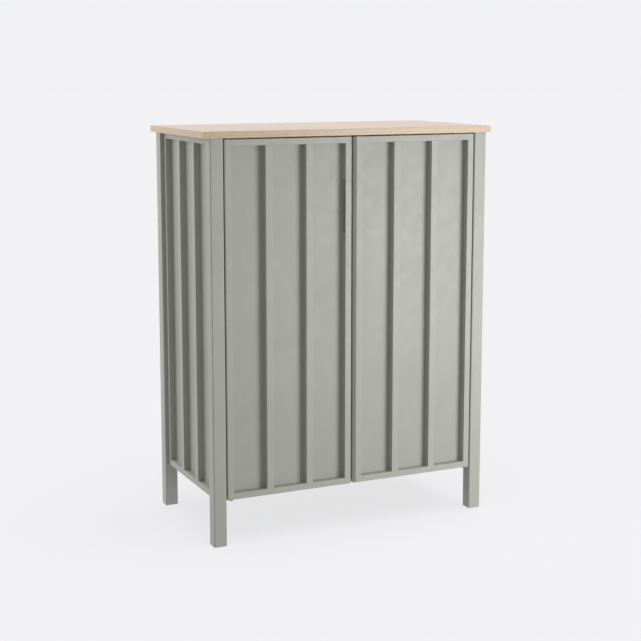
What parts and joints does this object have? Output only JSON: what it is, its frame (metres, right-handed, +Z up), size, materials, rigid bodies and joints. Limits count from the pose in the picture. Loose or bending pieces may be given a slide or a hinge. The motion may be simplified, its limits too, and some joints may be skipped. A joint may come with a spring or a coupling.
{
  "type": "shoe cabinet",
  "caption": "Floor-standing shoe cabinet on square legs, with inset hinged doors, planted vertical battens, adjustable shelves and an overhanging wooden top.",
  "frame": {"origin": "on the floor, under the middle of the cabinet's box", "axes": "+X to the right, +Y towards the wall behind, +Z up; the doors face -Y"},
  "size_m": [0.85, 0.43, 1.1],
  "materials": {
    "sage_paint": "satin sage-green paint",
    "inner_paint": "satin sage-green paint on panels and shelves inside",
    "oak": "pale oak, matt clear lacquer",
    "dowel_beech": "plain turned beech",
    "screw_steel": "zinc-plated",
    "hinge_steel": "blackened steel",
    "plate_steel": "nickel-plated",
    "nylon": "moulded off-white nylon",
    "glide_plastic": "moulded grey nylon",
    "magnet": "dark ferrite",
    "bumper_rubber": "soft translucent silicone"
  },
  "bodies": {
    "carcass": {"back_panel": "inner_paint", "back_panel_screws": "screw_steel", "back_top_rail": "inner_paint", "bottom_panel": "inner_paint", "bottom_pivots": "hinge_steel", "carcass_screws": "screw_steel", "catch_housings": "nylon", "catch_magnets": "magnet", "door_bumpers": "bumper_rubber", "fitting_screws": "screw_steel", "foot_glides": "glide_plastic", "frame_dowels": "dowel_beech", "front_left_leg": "sage_paint", "front_right_leg": "sage_paint", "front_top_rail": "inner_paint", "left_side_bottom_rail": "sage_paint", "left_side_front_batten": "sage_paint", "left_side_front_stile": "sage_paint", "left_side_panel": "sage_paint", "left_side_rear_batten": "sage_paint", "left_side_rear_stile": "sage_paint", "left_side_top_rail": "sage_paint", "rear_left_leg": "sage_paint", "rear_right_leg": "sage_paint", "right_side_bottom_rail": "sage_paint", "right_side_front_batten": "sage_paint", "right_side_front_stile": "sage_paint", "right_side_panel": "sage_paint", "right_side_rear_batten": "sage_paint", "right_side_rear_stile": "sage_paint", "right_side_top_rail": "sage_paint", "shelf_1": "inner_paint", "shelf_2": "inner_paint", "shelf_3": "inner_paint", "shelf_4": "inner_paint", "shelf_pins": "plate_steel", "top_board": "oak", "top_pivots": "hinge_steel", "wall_spacers": "nylon"},
    "left_door": {"left_door_bottom_rail": "sage_paint", "left_door_hinge_stile": "sage_paint", "left_door_inner_batten": "sage_paint", "left_door_meeting_stile": "sage_paint", "left_door_outer_batten": "sage_paint", "left_door_panel": "sage_paint", "left_door_pivot_bushes": "nylon", "left_door_strike_plate": "plate_steel", "left_door_strike_screw": "screw_steel", "left_door_top_rail": "sage_paint"},
    "right_door": {"right_door_bottom_rail": "sage_paint", "right_door_hinge_stile": "sage_paint", "right_door_inner_batten": "sage_paint", "right_door_meeting_stile": "sage_paint", "right_door_meeting_strip": "sage_paint", "right_door_outer_batten": "sage_paint", "right_door_panel": "sage_paint", "right_door_pivot_bushes": "nylon", "right_door_strike_plate": "plate_steel", "right_door_strike_screw": "screw_steel", "right_door_top_rail": "sage_paint"}
  },
  "joints": [
    {"name": "left_door_hinge", "type": "hinge", "parent": "carcass", "child": "left_door", "pos_m": [-0.358, -0.207, 0.603], "axis": [0, 0, -1], "range_deg": [0, 110]},
    {"name": "right_door_hinge", "type": "hinge", "parent": "carcass", "child": "right_door", "pos_m": [0.358, -0.207, 0.603], "axis": [0, 0, 1], "range_deg": [0, 110]}
  ]
}
